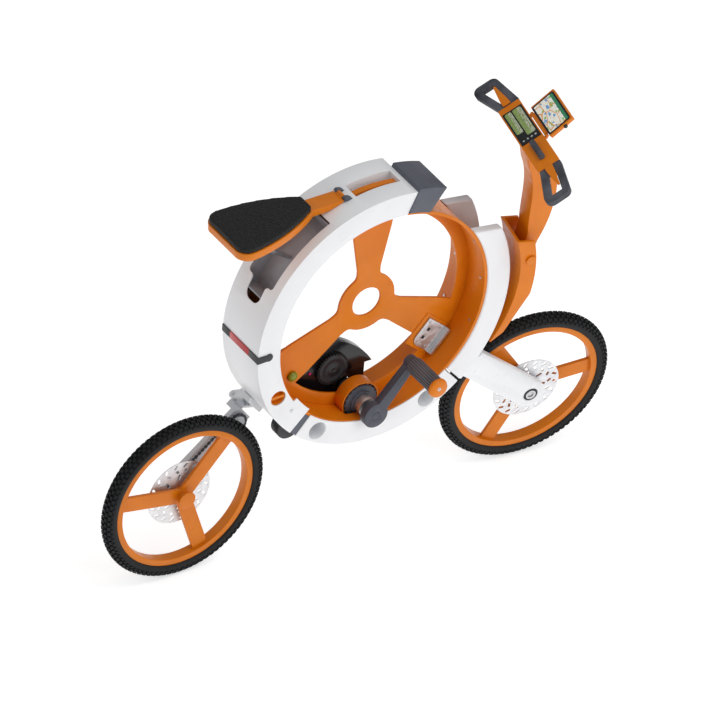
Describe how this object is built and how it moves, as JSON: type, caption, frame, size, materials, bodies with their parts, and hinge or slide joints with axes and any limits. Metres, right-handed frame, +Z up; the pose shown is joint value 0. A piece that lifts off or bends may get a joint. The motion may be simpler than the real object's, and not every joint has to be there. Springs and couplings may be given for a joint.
{
  "type": "folding bicycle",
  "caption": "Folding city bicycle with a hubless ring-shaped body, single-sided wheel arms that swing in, a folding stem and a hinged saddle.",
  "frame": {"origin": "centre of the round hub hole in the middle of the ring's spider plate", "axes": "+X forwards, +Y to the rider's left, +Z up; the front wheel and handlebar stand turned 10 degrees at rest"},
  "size_m": [1.6125, 0.6134, 1.3003],
  "materials": {
    "orange_drum": "satin orange enamel",
    "white_shell": "gloss white moulding",
    "slate_trim": "satin slate grey",
    "slate_crank": "dark anodised",
    "cheek_white": "gloss white moulding",
    "smoke_liner": "smoky translucent",
    "lens_red": "ribbed red lens",
    "black_trim": "fine texture",
    "battery_gloss": "gloss black",
    "orange_cover": "satin orange",
    "silver_metal": "satin",
    "brake_steel": "ground",
    "tyre_rubber": "knobbly",
    "rim_orange": "satin orange enamel",
    "chain_case": "satin pale grey",
    "chain_steel": "oiled",
    "arm_white": "gloss white",
    "orange_frame": "satin orange",
    "display_gloss": "gloss black bezel",
    "grip_rubber": "moulded texture",
    "pedal_grey": "ribbed",
    "pad_foam": "moulded foam skin"
  },
  "bodies": {
    "ring_frame": {"drum": "orange_drum", "side_cap": "orange_drum", "spider_plate": "orange_drum", "rear_shell": "white_shell", "bottom_shell": "white_shell", "joint_strip": "slate_trim", "slate_block": "slate_trim", "near_cheek": "cheek_white", "far_cheek": "cheek_white", "handle_tray": "white_shell", "carry_handle": "orange_drum", "recess_tub": "smoke_liner", "tail_lens": "lens_red", "tail_caps": "black_trim", "drive_arch": "orange_cover", "drive_motor": "black_trim", "battery_housing": "battery_gloss", "spindle_sleeve": "silver_metal", "panel_screws": "silver_metal", "rear_hinge_bracket": "arm_white", "rear_hinge_pin": "silver_metal", "steering_head": "arm_white", "head_bracket": "silver_metal", "seat_hinge": "slate_trim"},
    "crankset": {"crank_spindle": "silver_metal", "right_crank": "slate_crank", "left_crank": "slate_crank", "chainring": "slate_trim", "pedal_axles": "silver_metal"},
    "right_pedal": {"right_pedal": "pedal_grey"},
    "left_pedal": {"left_pedal": "pedal_grey"},
    "rear_arm": {"rear_arm": "chain_case", "rear_axle_bolt": "silver_metal", "chain": "chain_steel"},
    "rear_wheel": {"rear_tyre": "tyre_rubber", "rear_rim": "rim_orange", "rear_disc": "brake_steel", "rear_cog": "silver_metal"},
    "steering": {"steering_yoke": "arm_white", "steering_column": "orange_frame", "front_hinge_pin": "silver_metal", "stem_pivot_pin": "silver_metal"},
    "front_arm": {"front_arm": "arm_white", "front_axle_bolt": "silver_metal"},
    "front_wheel": {"front_tyre": "tyre_rubber", "front_rim": "rim_orange", "front_disc": "brake_steel"},
    "handlebar": {"stem": "orange_frame", "console": "orange_frame", "centre_display": "display_gloss", "left_handle": "grip_rubber", "right_handle": "grip_rubber", "shift_grip": "grip_rubber"},
    "map_display": {"map_display": "display_gloss"},
    "left_lever": {"left_lever": "orange_frame"},
    "right_lever": {"right_lever": "orange_frame"},
    "seat": {"seat_base": "orange_frame", "seat_pad": "pad_foam"},
    "seat_strut": {"seat_strut": "silver_metal"},
    "trolley_roller": {"trolley_roller": "black_trim"}
  },
  "joints": [
    {"name": "crank_spin", "type": "hinge", "parent": "ring_frame", "child": "crankset", "pos_m": [-0.021, 0, -0.299], "axis": [0, 1, 0], "continuous": true},
    {"name": "right_pedal_spin", "type": "hinge", "parent": "crankset", "child": "right_pedal", "pos_m": [0.08913, -0.184, -0.163], "axis": [0, 1, 0], "continuous": true},
    {"name": "left_pedal_spin", "type": "hinge", "parent": "crankset", "child": "left_pedal", "pos_m": [-0.13113, 0.204, -0.435], "axis": [0, 1, 0], "continuous": true},
    {"name": "rear_fold", "type": "hinge", "parent": "ring_frame", "child": "rear_arm", "pos_m": [-0.32892, 0.09, -0.27697], "axis": [0.6441, 0, -0.7649], "range_deg": [0, 120]},
    {"name": "rear_wheel_spin", "type": "hinge", "parent": "rear_arm", "child": "rear_wheel", "pos_m": [-0.55304, 0, -0.4657], "axis": [0, 1, 0], "continuous": true},
    {"name": "steering", "type": "hinge", "parent": "ring_frame", "child": "steering", "pos_m": [0, 0, 0], "axis": [0.7649, 0, -0.6441], "range_deg": [-50, 30]},
    {"name": "front_fold", "type": "hinge", "parent": "steering", "child": "front_arm", "pos_m": [0.32931, -0.03693, -0.28582], "axis": [-0.6343, 0.1736, -0.7533], "range_deg": [0, 100]},
    {"name": "front_wheel_spin", "type": "hinge", "parent": "front_arm", "child": "front_wheel", "pos_m": [0.55304, 0, -0.4657], "axis": [0.1119, 0.9848, 0.1328], "continuous": true},
    {"name": "stem_fold", "type": "hinge", "parent": "steering", "child": "handlebar", "pos_m": [0.45878, -0.06143, 0.0691], "axis": [0.1119, 0.9848, 0.1328], "range_deg": [0, 90]},
    {"name": "map_tilt", "type": "hinge", "parent": "handlebar", "child": "map_display", "pos_m": [0.44244, -0.11906, 0.51015], "axis": [0.1119, 0.9848, 0.1328], "range_deg": [-30, 30]},
    {"name": "left_lever_pull", "type": "hinge", "parent": "handlebar", "child": "left_lever", "pos_m": [0.42277, 0.02063, 0.50741], "axis": [-0.5182, -0.0562, 0.8534], "range_deg": [0, 10], "stiffness_Nm_per_rad": 0.6},
    {"name": "right_lever_pull", "type": "hinge", "parent": "handlebar", "child": "right_lever", "pos_m": [0.39257, -0.24527, 0.47155], "axis": [-0.5182, -0.0562, 0.8534], "range_deg": [-10, 0], "stiffness_Nm_per_rad": 0.6},
    {"name": "seat_lift", "type": "hinge", "parent": "ring_frame", "child": "seat", "pos_m": [-0.113, 0, 0.393], "axis": [0, 1, 0], "range_deg": [0, 100]},
    {"name": "strut_swing", "type": "hinge", "parent": "seat", "child": "seat_strut", "pos_m": [-0.43, 0, 0.347], "axis": [0, -1, 0], "range_deg": [0, 30]},
    {"name": "roller_spin", "type": "hinge", "parent": "ring_frame", "child": "trolley_roller", "pos_m": [-0.26292, 0, -0.29613], "axis": [0, 1, 0], "continuous": true}
  ]
}
